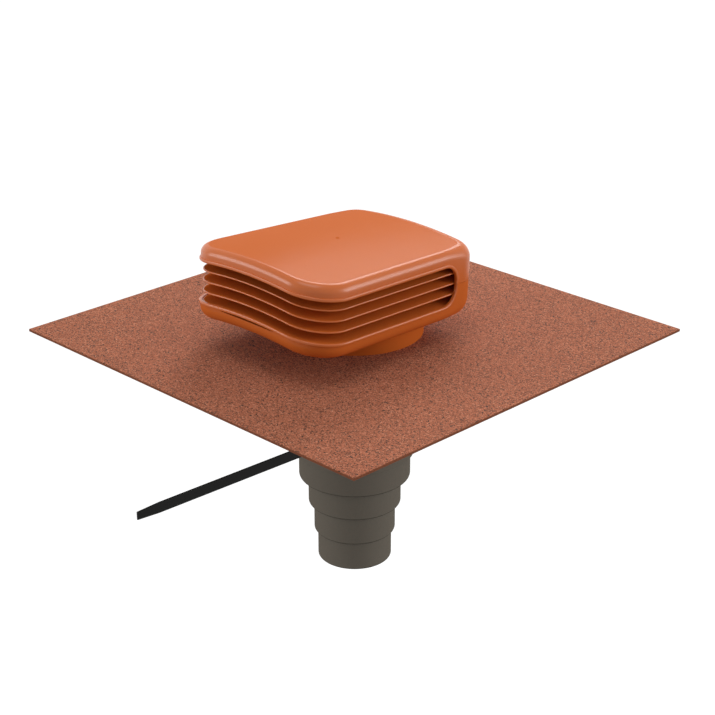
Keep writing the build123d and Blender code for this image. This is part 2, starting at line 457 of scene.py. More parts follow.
def make_piece(
    name: str, grids: Sequence[Grid], material: bpy.types.Material, stands_for: Sequence[str] = ()
) -> None:
    """Puts grids into one mesh object, closes its seams and poles, and ties it to the part.

    Args:
        name: The piece's name.
        grids: Its surfaces.
        material: Its finish.
        stands_for: CAD nodes that the piece replaces.
    """
    sizes = [grid.points.shape[0] * grid.points.shape[1] for grid in grids]
    firsts = np.concatenate([[0], np.cumsum(sizes)[:-1]])
    points = np.concatenate([grid.points.reshape(-1, 3) for grid in grids])
    quads = np.concatenate([grid.quads() + first for grid, first in zip(grids, firsts)])
    mesh = bpy.data.meshes.new(name)
    mesh.from_pydata(points.tolist(), [], quads.tolist())
    # Polish sets the coat; shade darkens the colour to paint shade.
    for tone in ("polish", "shade"):
        values = np.concatenate([grid.tones(tone).ravel() for grid in grids]).astype(np.float32)
        mesh.attributes.new(tone, "FLOAT", "POINT").data.foreach_set("value", values)
    work = bmesh.new()
    work.from_mesh(mesh)
    bmesh.ops.remove_doubles(work, verts=work.verts, dist=MERGE_DISTANCE)
    bmesh.ops.dissolve_degenerate(work, edges=work.edges, dist=SLIVER)
    bmesh.ops.recalc_face_normals(work, faces=work.faces)
    work.to_mesh(mesh)
    work.free()
    mesh.shade_smooth()
    mesh.set_sharp_from_angle(angle=SHARP_ANGLE)
    mesh.materials.append(material)
    piece = bpy.data.objects.new(name, mesh)
    bpy.context.scene.collection.objects.link(piece)
    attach(piece, "root")
    if stands_for:
        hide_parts(*stands_for)
    log.info("%s: %d faces", name, len(mesh.polygons))


@dataclass(frozen=True)
class HoodForm:
    """Shape that all the hood's pieces share: a tapered plan with round corners, pitched and crowned."""

    pitch: float = math.radians(3.15)
    seat: float = 0.004
    front_width: float = 0.2498
    back_width: float = 0.2241
    front_reach: float = 0.1902
    back_reach: float = 0.1114
    front_radius: float = 0.0547
    back_radius: float = 0.0320
    crown_radius: float = 0.712
    front_stop: float = 0.11
    back_stop: float = 0.10

    @property
    def taper(self) -> float:
        """Angle of a side against the hood's axis."""
        return math.atan((self.front_width - self.back_width) / 2 / (self.front_reach + self.back_reach))

    @property
    def tangents(self) -> tuple[float, float]:
        """Distance from each sharp corner to where its arc starts.

        Returns:
            The distances at the front and at the back.
        """
        front = self.front_radius * math.tan((math.pi / 2 + self.taper) / 2)
        back = self.back_radius * math.tan((math.pi / 2 - self.taper) / 2)
        return front, back

    @property
    def ends(self) -> np.ndarray:
        """Distances along half the outline at which its runs end.

        Returns:
            The ends of the front, the front arc, the side, the back arc and the back.
        """
        front, back = self.tangents
        side = math.hypot(self.front_reach + self.back_reach, (self.front_width - self.back_width) / 2)
        spans = [
            self.front_width / 2 - front,
            self.front_radius * (math.pi / 2 + self.taper),
            side - front - back,
            self.back_radius * (math.pi / 2 - self.taper),
            self.back_width / 2 - back,
        ]
        return np.cumsum(spans)

    def plan(self, along: np.ndarray, inset: Any) -> np.ndarray:
        """Point of the plan at a distance along its outline from the middle of the front, moved in by inset.

        Straight runs keep one normal and each arc turns it evenly; the point is the outline's point less inset
        times the normal. A negative distance is the same point on the other side.

        Args:
            along: Distance along the outline, positive on the right.
            inset: Distance inwards.

        Returns:
            Points across and back, on the last axis.
        """
        along, inset = np.broadcast_arrays(along, np.asarray(inset, float))
        reach = np.abs(along)
        front, back = self.tangents
        ends = self.ends
        parts = [reach < ends[0], reach < ends[1], reach < ends[2], reach < ends[3]]
        front_turn = -math.pi / 2 + (reach - ends[0]) / self.front_radius
        back_turn = self.taper + (reach - ends[2]) / self.back_radius
        turn = np.select(parts, [-math.pi / 2, front_turn, self.taper, back_turn], math.pi / 2)
        front_middle = (self.front_width / 2 - front, self.front_radius - self.front_reach)
        back_middle = (self.back_width / 2 - back, self.back_reach - self.back_radius)
        side = reach - ends[1]
        across = np.select(
            parts,
            [
                reach,
                front_middle[0] + self.front_radius * np.cos(turn),
                front_middle[0] + self.front_radius * math.cos(self.taper) - side * math.sin(self.taper),
                back_middle[0] + self.back_radius * np.cos(turn),
            ],
            ends[4] - reach,
        )
        behind = np.select(
            parts,
            [
                -self.front_reach,
                front_middle[1] + self.front_radius * np.sin(turn),
                front_middle[1] + self.front_radius * math.sin(self.taper) + side * math.cos(self.taper),
                back_middle[1] + self.back_radius * np.sin(turn),
            ],
            self.back_reach,
        )
        hand = np.where(along < 0, -1.0, 1.0)
        return np.stack([hand * (across - inset * np.cos(turn)), behind - inset * np.sin(turn)], axis=-1)

    def row_points(self, across: np.ndarray, behind: np.ndarray, level: Any) -> np.ndarray:
        """Points in the part's frame from a place in the plan and a level at the crown.

        The crown lowers a point by radius - sqrt(radius^2 - across^2), and the pitch turns the plan about its own
        cross axis, down towards the back.

        Args:
            across: Place across the hood.
            behind: Place along the hood, positive towards the back.
            level: Height above the sheet at the crown.

        Returns:
            Points in metres, on the last axis.
        """
        drop = self.crown_radius - np.sqrt(self.crown_radius**2 - across**2)
        height = level - drop
        tilt, rise = math.sin(self.pitch), math.cos(self.pitch)
        points = (across, behind * rise + height * tilt, self.seat - behind * tilt + height * rise)
        return np.stack(np.broadcast_arrays(*points), axis=-1)

    def skin(self, along: np.ndarray, level: Any, inset: Any) -> np.ndarray:
        """Points on an upright skin of the hood.

        Args:
            along: Distance along the outline.
            level: Height above the sheet at the crown.
            inset: Distance inwards.

        Returns:
            Points in metres, on the last axis.
        """
        along, level, inset = np.broadcast_arrays(along, level, inset)
        plan = self.plan(along, inset)
        return self.row_points(plan[..., 0], plan[..., 1], level)

    def along_side(self, behind: Any) -> Any:
        """Distance along the outline of a place on the straight side."""
        start = self.plan(np.array(self.ends[1] + 1e-9), 0.0)[1]
        return self.ends[1] + (behind - start) / math.cos(self.taper)

    def spine(self, plan: np.ndarray) -> np.ndarray:
        """Nearest place on the hood's middle line, short of both ends by about half its width."""
        behind = np.clip(plan[:, 1], -self.front_reach + self.front_stop, self.back_reach - self.back_stop)
        return np.stack([np.zeros_like(behind), behind], axis=-1)


@dataclass(frozen=True)
class Hood:
    """The orange hood: cover, base and louvres, all on one form."""

    form: HoodForm = HoodForm()
    under: float = 0.0356
    rim: float = 0.0596
    lip: float = 0.1118
    top: float = 0.1305
    wall: float = 0.0025
    top_radius: float = 0.0093
    back_top_radius: float = 0.021
    pan_radius: float = 0.016
    back_pan_radius: float = 0.028
    seam_gap: float = 0.0004
    opening_back: float = 0.0655
    opening_radius: float = 0.022
    bead_height: float = 0.0044
    bead_proud: float = 0.0017
    bead_cover: float = 0.0003
    bead_overlap: float = 0.0001
    bead_rounds: tuple[float, ...] = (0.0016, 0.0015, 0.0004, 0.0008)
    slot_half: float = 0.050
    slot_height: float = 0.0024
    louvre_inset: float = 0.0047
    louvre_depth: float = 0.052
    louvre_thickness: float = 0.0022
    louvre_sink: float = 0.002
    louvre_pitch: float = 0.014
    louvre_nose: float = 0.0013
    louvre_rows: tuple[float, ...] = (0.0016, 0.010)
    louvre_rounds: tuple[float, float] = (0.0009, 0.0003)
    louvre_support: float = 0.0002
    collar_radius: float = 0.090
    collar_wall: float = 0.003
    collar_behind: float = -0.0020
    post_radius: float = 0.007
    post_sink: float = 0.001
    post_across: tuple[float, float] = (-0.080, 0.080)
    post_behind: tuple[float, float] = (-0.142, 0.060)
    gate_behind: float = -0.037
    gate_radius: float = 0.0022
    gate_width: float = 0.0005
    gate_height: float = 0.0004
    support: float = 0.0006
    support_share: float = 0.007
    growth_lead: float = 0.02
    top_polish: float = 0.17
    edge_polish: float = 0.5
    polish_turn: float = math.radians(50)
    wall_polish: float = 0.8
    pan_polish: float = 0.35

    @property
    def seam(self) -> float:
        """Level of the seam between cover and base at the closed back."""
        return (self.rim + self.lip) / 2

    @property
    def inner(self) -> float:
        """Inset of the wall's inner side."""
        return self.bead_proud + self.wall

    def front_run(self) -> np.ndarray:
        """Half the outline's front run, from the middle of the front to where the opening's round end starts.

        Returns:
            Distances along the outline.
        """
        ends = self.form.ends
        stop = self.form.along_side(self.opening_back - self.opening_radius)
        return np.concatenate(
            [
                np.linspace(0.0, self.slot_half, 17),
                np.linspace(self.slot_half, ends[0], 5)[1:],
                np.linspace(ends[0], ends[1], 49)[1:],
                np.linspace(ends[1], stop, 19)[1:],
            ]
        )

    def opening_edge(self, half: Half, grown: float) -> tuple[np.ndarray, np.ndarray, np.ndarray, np.ndarray]:
        """One side of the opening's edge, from the middle of the front to the seam.

        The edge runs level to its round end, turns a quarter of a circle there and goes upright to the seam.

        Args:
            half: Which half of the case.
            grown: How far the edge is moved into that half's wall.

        Returns:
            Distance along the outline, level, and the two parts of the direction into the wall.
        """
        sign = half.value
        edge = self.lip if half is Half.COVER else self.rim
        front = self.front_run()
        turn = np.radians(np.linspace(0.0, 90.0, 17))[1:]
        radius = self.opening_radius + grown
        middle = edge - sign * self.opening_radius
        bend = self.form.along_side(self.opening_back - self.opening_radius + radius * np.sin(turn))
        upright = np.linspace(middle, self.seam + sign * self.seam_gap / 2, 7)[1:]
        along = np.concatenate([front, bend, np.full(upright.size, bend[-1])])
        straight = np.full(front.size, edge + sign * grown)
        level = np.concatenate([straight, middle + sign * radius * np.cos(turn), upright])
        lean_along = np.concatenate([np.zeros(front.size), np.sin(turn), np.ones(upright.size)])
        lean_level = sign * np.concatenate([np.ones(front.size), np.cos(turn), np.zeros(upright.size)])
        return along, level, lean_along, lean_level

    def shell_stations(self, half: Half) -> tuple[np.ndarray, np.ndarray, np.ndarray]:
        """Stations right round one half of the case, from the middle of the front.

        Args:
            half: Which half of the case.

        Returns:
            Distance along the outline at the rounded top or bottom, and distance and level at the wall's edge.
        """
        along, level, _, _ = self.opening_edge(half, self.bead_cover)
        ends = self.form.ends
        back_side = np.linspace(along[-1], ends[2], 8)[1:]
        corner = np.linspace(ends[2], ends[3], 25)[1:]
        back = np.concatenate([back_side, corner, np.linspace(ends[3], ends[4], 9)[1:]])
        seam = np.full(back.size, self.seam + half.value * self.seam_gap / 2)
        front = self.front_run()
        spread = np.linspace(front[-1], ends[2], along.size - front.size + back_side.size + 1)[1:]
        far = np.concatenate([front, spread, back[back_side.size:]])
        edge_along = np.concatenate([along, back])
        edge_level = np.concatenate([level, seam])
        runs = ((far, -1), (edge_along, -1), (edge_level, 1))
        loops = [np.concatenate([run, hand * run[-2:0:-1]]) for run, hand in runs]
        return loops[0], loops[1], loops[2]

    def crown_rows(self, start: np.ndarray, end: np.ndarray, level: float, count: int) -> np.ndarray:
        """Rows of points on one crown, drawn straight in plan from one line to another.

        Args:
            start: Plan points of the first row.
            end: Plan points of the last row.
            level: The crown's level.
            count: Number of rows.

        Returns:
            Points, stations by rows.
        """
        share = np.linspace(0.0, 1.0, count)
        share[-2], share[1] = 1.0 - self.support_share, self.support_share
        plan = start[:, None] + share[None, :, None] * (end - start)[:, None]
        return self.form.row_points(plan[..., 0], plan[..., 1], level)

    def edge_radius(self, along: np.ndarray, front: float, back: float) -> np.ndarray:
        """Radius of a rounded edge: even round the front, then growing smoothly round each back corner.

        The growth is share^2 * (3 - 2 * share), where share runs from 0 near the opening's end to 1 at the back.

        Args:
            along: Distance along the outline.
            front: Radius round the front.
            back: Radius at the back.

        Returns:
            The radius at each distance, as one column.
        """
        start = self.form.along_side(self.opening_back - self.growth_lead)
        share = np.clip((np.abs(along) - start) / (self.form.ends[3] - start), 0.0, 1.0)
        return (front + (back - front) * share**2 * (3 - 2 * share))[:, None]

    def cover_shell(self) -> Grid:
        """Cover as one closed shell: from the middle line over the top, down the wall and back inside.

        The rounded edge is a quarter circle of inset and level: inset grows by radius * (1 - cos turn) and the level
        by radius * sin turn.

        Returns:
            The shell, its edge and wall polished.
        """
        far, along, level = self.shell_stations(Half.COVER)
        radius = self.edge_radius(far, self.top_radius, self.back_top_radius)
        flat = self.form.plan(far, self.bead_proud + radius[:, 0])
        spine = self.form.spine(flat)
        turn = np.radians(np.linspace(90.0, 0.0, 19))
        middle = self.top - radius
        inner_radius = radius - self.wall
        outside = self.form.skin(
            far[:, None],
            middle + radius * np.sin(turn[1:]),
            self.bead_proud + radius * (1 - np.cos(turn[1:])),
        )
        wall = self.form.skin(far[:, None], middle - self.support, np.array([self.bead_proud]))
        edge = self.form.skin(along[:, None], level[:, None], np.array([self.bead_proud, self.inner]))
        back = turn[::-2]
        inside = self.form.skin(
            far[:, None], middle + inner_radius * np.sin(back), self.inner + inner_radius * (1 - np.cos(back))
        )
        rows = [
            self.crown_rows(spine, flat, self.top, 15),
            outside,
            wall,
            edge,
            inside,
            self.crown_rows(flat, spine, self.top - self.wall, 8)[:, 1:],
        ]
        points = np.concatenate(rows, axis=1)
        polish = np.zeros(points.shape[:2])
        first = rows[0].shape[1]
        last = first + outside.shape[1]
        rise = np.clip((math.pi / 2 - turn) / self.polish_turn, 0.0, 1.0)
        polish[:, : first - 1] = self.top_polish
        polish[:, first - 1 : last] = self.edge_polish + (1.0 - self.edge_polish) * rise
        polish[:, last : last + 2] = self.wall_polish
        return Grid(points, wrap_rows=True, polish=polish)

    def base_shell(self) -> list[Grid]:
        """Base as one closed shell round the collar's hole: out under the pan, up the wall and back inside.

        The rounded edge is a quarter circle of inset and level, as on the cover. A lens-shaped slot under the front
        bead is left out of both sides of the wall and lined between them.

        Returns:
            The shell and the slot's two linings.
        """
        far, along, level = self.shell_stations(Half.BASE)
        radius = self.edge_radius(far, self.pan_radius, self.back_pan_radius)
        flat = self.form.plan(far, self.bead_proud + radius[:, 0])
        around = np.arctan2(flat[:, 1] - self.collar_behind, flat[:, 0])
        hole_radius = self.collar_radius - self.collar_wall / 2
        hole = np.stack([hole_radius * np.cos(around), hole_radius * np.sin(around) + self.collar_behind], axis=-1)
        turn = np.radians(np.linspace(0.0, 90.0, 15))
        middle = self.under + radius
        inner_radius = radius - self.wall
        inset = np.array([self.bead_proud])
        inner_inset = np.array([self.inner])
        outside = self.form.skin(
            far[:, None],
            middle - radius * np.cos(turn[1:]),
            self.bead_proud + radius * (1 - np.sin(turn[1:])),
        )
        low = self.under + self.pan_radius
        share = (self.rim - self.bead_height - low) / (self.rim - self.bead_cover - low)
        slot_along = (far * (1 - share) + along * share)[:, None]
        slot_top = middle * (1 - share) + level[:, None] * share
        lens = np.sqrt(np.clip(1 - (slot_along / self.slot_half) ** 2, 0.0, 1.0))
        slot_low = slot_top - self.slot_height * lens
        back = turn[::-2]
        inside = self.form.skin(
            far[:, None], middle - inner_radius * np.cos(back), self.inner + inner_radius * (1 - np.sin(back))
        )
        edge = self.form.skin(along[:, None], level[:, None], np.array([self.bead_proud, self.inner]))
        outer_slot = [self.form.skin(slot_along, height, inset) for height in (slot_low, slot_top)]
        inner_slot = [self.form.skin(slot_along, height, inner_inset) for height in (slot_top, slot_low)]
        bottom = self.crown_rows(hole, flat, self.under, 8)
        rows = [bottom, outside, *outer_slot, edge, *inner_slot, inside]
        rows.append(self.crown_rows(flat, hole, self.under + self.wall, 8)[:, 1:])
        points = np.concatenate(rows, axis=1)
        in_slot = np.abs(slot_along[:, 0]) < self.slot_half + 1e-6
        both = in_slot & np.roll(in_slot, -1)
        left_out = np.zeros(points.shape[:2], bool)
        outer_row = bottom.shape[1] + outside.shape[1]
        # The slot's row on the outer side, and past the wall's edge its row on the inner side.
        left_out[both, outer_row] = True
        left_out[both, outer_row + 4] = True
        order = np.flatnonzero(in_slot)[np.argsort(slot_along[in_slot, 0])]
        linings = [
            Grid(np.concatenate([outer_slot[0], inner_slot[1]], axis=1)[order]),
            Grid(np.concatenate([outer_slot[1], inner_slot[0]], axis=1)[order]),
        ]
        polish = np.zeros(points.shape[:2])
        polish[:, bottom.shape[1] : outer_row + 3] = self.pan_polish
        return [Grid(points, wrap_rows=True, wrap_columns=True, left_out=left_out, polish=polish), *linings]

    def bead(self, half: Half) -> list[Grid]:
        """Bead round the opening: a rounded profile carried along the edge, standing out square to it in the skin.

        Args:
            half: Which half of the case.

        Returns:
            The tube and its two end caps.
        """
        run = self.opening_edge(half, 0.0)
        along, level, lean_along, lean_level = (
            np.concatenate([hand * part[:0:-1], part])[:, None] for part, hand in zip(run, (-1, 1, -1, 1))
        )
        reach = self.inner + self.bead_overlap
        near = -self.bead_overlap
        corners = [(near, 0.0), (self.bead_height, 0.0), (self.bead_height, reach), (near, reach)]
        loop = rounded_loop(corners, self.bead_rounds, 9, CLOSE_SUPPORT)
        points = self.form.skin(along + loop[:, 0] * lean_along, level + loop[:, 0] * lean_level, loop[:, 1])
        tube = Grid(points, wrap_columns=True, polish=np.ones(points.shape[:2]))
        return [tube, *tube.end_caps()]

    def gate_mark(self) -> Grid:
        """Small ring left by the mould in the middle of the top: a thin torus on the crown.

        Returns:
            The closed ring.
        """
        round_angle = full_turn(32)
        tube_angle = full_turn(10).T
        radius = self.gate_radius + self.gate_width * np.cos(tube_angle)
        points = self.form.row_points(
            radius * np.cos(round_angle),
            self.gate_behind + radius * np.sin(round_angle),
            self.top + self.gate_height * np.sin(tube_angle),
        )
        return Grid(points, wrap_rows=True, wrap_columns=True)

    def louvre(self, level: float) -> Grid:
        """Louvre ring: a plate's rounded profile carried round the plan, its depth drawn towards the middle line.

        Args:
            level: Level of the plate's middle.

        Returns:
            The closed ring.
        """
        ends = self.form.ends
        half = np.concatenate(
            [
                np.linspace(0.0, ends[0], 12),
                np.linspace(ends[0], ends[1], 49)[1:],
                np.linspace(ends[1], ends[2], 20)[1:],
                np.linspace(ends[2], ends[3], 25)[1:],
                np.linspace(ends[3], ends[4], 9)[1:],
            ]
        )
        along = np.concatenate([half, -half[-2:0:-1]])
        outer = self.form.plan(along, self.louvre_inset)
        inward = self.form.spine(outer) - outer
        inward /= np.linalg.norm(inward, axis=1, keepdims=True)
        thick = self.louvre_thickness / 2
        near, far = self.louvre_rows
        depths = np.concatenate([[0.0, near], np.linspace(far, self.louvre_depth, 4)])
        corners = [*((depth, -thick) for depth in depths), *((depth, thick) for depth in depths[::-1])]
        nose, heel = self.louvre_rounds
        radii = [nose, 0, 0, 0, 0, heel, heel, 0, 0, 0, 0, nose]
        loop = rounded_loop(corners, radii, 5, self.louvre_support)
        plan = outer[:, None] + loop[:, :1] * inward[:, None]
        points = self.form.row_points(plan[..., 0], plan[..., 1], level + loop[:, 1])
        polish = np.broadcast_to(np.where(loop[:, 0] < self.louvre_nose, 1.0, 0.0), points.shape[:2])
        return Grid(points, wrap_rows=True, wrap_columns=True, polish=polish)

    def collar(self) -> Grid:
        """Collar: a short tube from the sheet up into the pan, whose top follows the pan's crown.

        Returns:
            The closed tube.
        """
        angle = full_turn(160)[:, 0]
        radii = (self.collar_radius, self.collar_radius - self.collar_wall)
        outer, inner = (np.stack([radius * np.cos(angle), radius * np.sin(angle)], axis=-1) for radius in radii)
        foot = [np.column_stack([ring, np.full(angle.size, self.form.seat)]) for ring in (inner, outer)]
        head = [
            self.form.row_points(ring[:, 0], ring[:, 1] + self.collar_behind, self.under + self.wall / 2)
            for ring in (outer, inner)
        ]
        return Grid(np.stack([*foot, *head], axis=1), wrap_rows=True, wrap_columns=True)

    def post(self, across: float, behind: float) -> Grid:
        """Round post from the pan's floor to the cover, its ends on the crowns.

        Args:
            across: Its place across the hood.
            behind: Its place along the hood.

        Returns:
            The post, closed at both ends.
        """
        angle = full_turn(32)
        radius = np.array([0.0, self.post_radius, self.post_radius, 0.0])[None, :]
        level = np.array([self.under + self.post_sink] * 2 + [self.top - self.post_sink] * 2)[None, :]
        points = self.form.row_points(across + radius * np.cos(angle), behind + radius * np.sin(angle), level)
        return Grid(points, wrap_rows=True)

    def build(self, plastic: bpy.types.Material) -> None:
        """Builds and dresses every piece of the hood.

        Args:
            plastic: The hood's finish.
        """
        cover = [self.cover_shell(), *self.bead(Half.COVER), self.gate_mark()]
        make_piece("cover", cover, plastic, ["hood_cover"])
        base = [*self.base_shell(), *self.bead(Half.BASE), self.collar()]
        make_piece("base", base, plastic, ["hood_base"])
        names = ("bottom", "lower", "middle", "upper")
        for place, name in enumerate(names):
            ring = self.louvre(self.rim - self.louvre_sink + self.louvre_pitch * place)
            make_piece(f"ring_{name}", [ring], plastic, [f"louvre_{name}"])
        places = [(across, behind) for across in self.post_across for behind in self.post_behind]
        make_piece("spacer_posts", [self.post(*place) for place in places], plastic)


@dataclass(frozen=True)
class RoofSheet:
    """The square sheet of roof felt, with a hole and a recess for the sleeve's plate."""

    half: float = 0.300
    thickness: float = 0.004
    hole: float = 0.081
    recess: float = 0.151
    recess_depth: float = 0.002
    edge: float = 0.0007
    margin: float = 0.004
    rings: tuple[tuple[float, float], ...] = ((0.2, 0.120), (0.6, 0.200))

    def slab(self) -> Grid:
        """Slab as a closed profile carried round: each row's radius is its size / max(|cos|, |sin|)^squareness.

        A squareness of 0 gives a circle and 1 a square, so the rows change from the round hole to the square edge.

        Returns:
            The closed slab.
        """
        angle = full_turn(512)
        turn = np.radians(np.linspace(0.0, 90.0, 5))
        inwards, down = self.edge * (1 - np.sin(turn)), self.edge * (1 - np.cos(turn))
        upper = [(1.0, self.half - back, self.thickness - drop) for back, drop in zip(inwards, down)]
        lower = [(1.0, size, self.thickness - height) for _, size, height in reversed(upper)]
        rows = [
            (0.0, self.hole, self.recess_depth),
            (0.0, self.hole, self.thickness),
            *((square, size, self.thickness) for square, size in self.rings),
            (1.0, self.half - self.margin, self.thickness),
            *upper,
            *lower,
            (1.0, self.half - self.margin, 0.0),
            (0.0, self.recess, 0.0),
            (0.0, self.recess, self.recess_depth),
        ]
        square, size, height = (np.array(part)[None, :] for part in zip(*rows))
        radius = size / np.maximum(np.abs(np.cos(angle)), np.abs(np.sin(angle))) ** square
        points = np.stack(np.broadcast_arrays(radius * np.cos(angle), radius * np.sin(angle), height), axis=-1)
        return Grid(points, wrap_rows=True, wrap_columns=True)

    def build(self, felt: bpy.types.Material) -> None:
        """Builds and dresses the sheet.

        Args:
            felt: The sheet's finish.
        """
        make_piece("sheet", [self.slab()], felt, ["felt_sheet"])


@dataclass(frozen=True)
class DuctRun:
    """The sleeve through the roof and the stepped adapter below it."""

    sleeve_radius: float = 0.080
    sleeve_bore: float = 0.0753
    sleeve_foot: float = -0.169
    sleeve_head: float = 0.0511
    plate_radius: float = 0.150
    plate_thickness: float = 0.002
    sleeve_chamfer: float = 0.0015
    sleeve_rounds: tuple[float, ...] = (0.0006, 0.0008, 0.0008, 0.0005, 0.0005, 0.0006, 0.0004, 0.0004, 0.0005)
    adapter_head: float = -0.109
    step_radii: tuple[float, ...] = (0.075, 0.0625, 0.055, 0.050)
    step_feet: tuple[float, ...] = (-0.2049, -0.2459, -0.2869, -0.3279)
    adapter_wall: float = 0.003
    step_round: float = 0.0028
    foot_round: float = 0.0025
    head_round: float = 0.0008
    hollow_round: float = 0.0012
    bore_round: float = 0.0006
    mouth_round: float = 0.0002
    # Painted shade along each step's lower edge, one value for each point of the rounded corner.
    painted_edge_shade: tuple[float, ...] = (0.0, 0.0, 0.3, 0.55, 0.6, 0.6, 0.6, 0.6, 0.6)

    def sleeve(self) -> Grid:
        """Sleeve: the section of a tube with a plate, its corners rounded, turned about the duct's axis.

        Returns:
            The closed sleeve.
        """
        corners = [
            (self.sleeve_bore, self.sleeve_foot),
            (self.sleeve_radius, self.sleeve_foot),
            (self.sleeve_radius, 0.0),
            (self.plate_radius, 0.0),
            (self.plate_radius, self.plate_thickness),
            (self.sleeve_radius, self.plate_thickness),
            (self.sleeve_radius, self.sleeve_head - self.sleeve_chamfer),
            (self.sleeve_radius - self.sleeve_chamfer, self.sleeve_head),
            (self.sleeve_bore, self.sleeve_head),
        ]
        return revolved(rounded_loop(corners, self.sleeve_rounds))

    def step_corners(self, radii: Sequence[float], feet: Sequence[float]) -> list[tuple[float, float]]:
        """Corners of a stepped wall's one side, from its head down.

        Args:
            radii: Radius of each step.
            feet: Height at which each step ends.

        Returns:
            Radius and height of each corner.
        """
        heads = (self.adapter_head, *feet[:-1])
        return [(radius, height) for radius, *ends in zip(radii, heads, feet) for height in ends]

    def adapter(self) -> Grid:
        """Adapter: the section of a stepped wall, each step's lower edge rounded, turned about the duct's axis.

        The painted shade on each lower edge grows along its arc, from the wall to the underside, and stands in for
        the shade under each step. It has one value for each point of a rounded corner: a support, the arc's points
        and another support.

        Returns:
            The closed tube, with painted shade on its steps' lower edges.
        """
        outside = self.step_corners(self.step_radii, self.step_feet)
        feet = [foot + self.adapter_wall for foot in self.step_feet[:-1]] + [self.step_feet[-1]]
        inside = self.step_corners([radius - self.adapter_wall for radius in self.step_radii], feet)
        steps = [self.hollow_round, self.step_round] * 2
        outer_rounds = [self.head_round, self.step_round, *steps, self.hollow_round, self.foot_round]
        inner_rounds = [self.mouth_round] + [self.bore_round] * (len(inside) - 1)
        corners, rounds = [*outside, *inside[::-1]], [*outer_rounds, *inner_rounds]
        profile = rounded_loop(corners, rounds, len(self.painted_edge_shade) - 2, CLOSE_SUPPORT)
        # Painted shade under each step: its lower edge's arc darkens towards the underside.
        edge = np.zeros((len(corners), len(self.painted_edge_shade)))
        edge[1 : len(outside) : 2] = self.painted_edge_shade
        tube = revolved(profile, 160)
        return replace(tube, shade=np.broadcast_to(edge.ravel(), tube.points.shape[:2]))

    def build(self, grey: bpy.types.Material) -> None:
        """Builds and dresses the sleeve and the adapter.

        Args:
            grey: Their finish.
        """
        make_piece("sleeve", [self.sleeve()], grey, ["roof_sleeve"])
        make_piece("adapter", [self.adapter()], grey, ["duct_adapter"])


@dataclass(frozen=True)
class CableTie:
    """The cable tie round the sleeve: band, locking head and a long straight tail."""

    inner: float = 0.0803
    thickness: float = 0.002
    width: float = 0.0139
    level: float = -0.0911
    turn: float = math.radians(-2.9)
    tail: float = 0.4084
    tip: float = 0.031
    tip_width: float = 0.0103
    head_depth: float = 0.009
    head_length: float = 0.018
    head_width: float = 0.0179
    head_root: float = 0.25
    strap_round: float = 0.0005

    def turned(self, x: np.ndarray, y: np.ndarray, z: np.ndarray) -> np.ndarray:
        """Points turned about the Z axis to where the tail leaves."""
        cos, sin = math.cos(self.turn), math.sin(self.turn)
        return np.stack(np.broadcast_arrays(x * cos - y * sin, x * sin + y * cos, z), axis=-1)

    def section(self) -> np.ndarray:
        """Strap's section, a flat rectangle with round edges, from its inner side outwards.

        Returns:
            Distance outwards and height of each point.
        """
        half = self.width / 2
        corners = [(0.0, -half), (self.thickness, -half), (self.thickness, half), (0.0, half)]
        return rounded_loop(corners, [self.strap_round] * 4, 5)

    def band(self) -> Grid:
        """Band: the section turned once round the sleeve."""
        section = self.section()
        return revolved(np.column_stack([self.inner + section[:, 0], self.level + section[:, 1]]), 160)

    def tail_strap(self) -> list[Grid]:
        """Tail: the section carried straight along the tangent, narrowing evenly to its middle along the tip.

        Returns:
            The tail and its two end caps.
        """
        section = self.section()
        tip_start = self.tail - self.tip
        out = np.concatenate([np.linspace(0.0, tip_start, 12), np.linspace(tip_start, self.tail, 8)[1:]])[:, None]
        along_tip = np.clip((out - self.tail + self.tip) / self.tip, 0.0, 1.0)
        narrowing = 1.0 - along_tip * (1.0 - self.tip_width / self.width)
        points = self.turned(self.inner + section[:, 0][None, :], -out, self.level + section[:, 1] * narrowing)
        tube = Grid(points, wrap_columns=True)
        return [tube, *tube.end_caps()]

    def head(self) -> Grid:
        """Locking head: a superellipsoid of power 8, so a box with soft edges.

        Returns:
            The closed head.
        """
        up = np.radians(np.linspace(-90.0, 90.0, 33))[None, :]
        around = np.radians(np.linspace(0.0, 360.0, 64, endpoint=False))[:, None]

        def soft(value: np.ndarray) -> np.ndarray:
            """Signed root that squares the round."""
            return np.sign(value) * np.abs(value) ** self.head_root

        x = self.inner + self.head_depth / 2 * (1 + soft(np.cos(up)) * soft(np.cos(around)))
        y = -self.head_length / 2 * (1 + soft(np.cos(up)) * soft(np.sin(around)))
        z = self.level + self.head_width / 2 * soft(np.sin(up))
        return Grid(self.turned(x, y, z), wrap_rows=True)

    def build(self, nylon: bpy.types.Material) -> None:
        """Builds and dresses the tie.

        Args:
            nylon: Its finish.
        """
        make_piece("tie", [self.band(), *self.tail_strap(), self.head()], nylon, ["cable_tie"])


@dataclass(frozen=True)
class SoftBox:
    """A square studio lamp that points at the hood."""

    name: str
    place: tuple[float, float, float]
    size: float
    power: float
    target: tuple[float, float, float] = (0.0, 0.0, 0.05)

    def build(self) -> None:
        """Adds the lamp."""
        lamp = bpy.data.lights.new(self.name, "AREA")
        lamp.size = self.size
        lamp.energy = self.power
        holder = bpy.data.objects.new(self.name, lamp)
        holder.location = self.place
        holder.rotation_euler = (Vector(self.target) - Vector(self.place)).to_track_quat("-Z", "Y").to_euler()
        bpy.context.scene.collection.objects.link(holder)


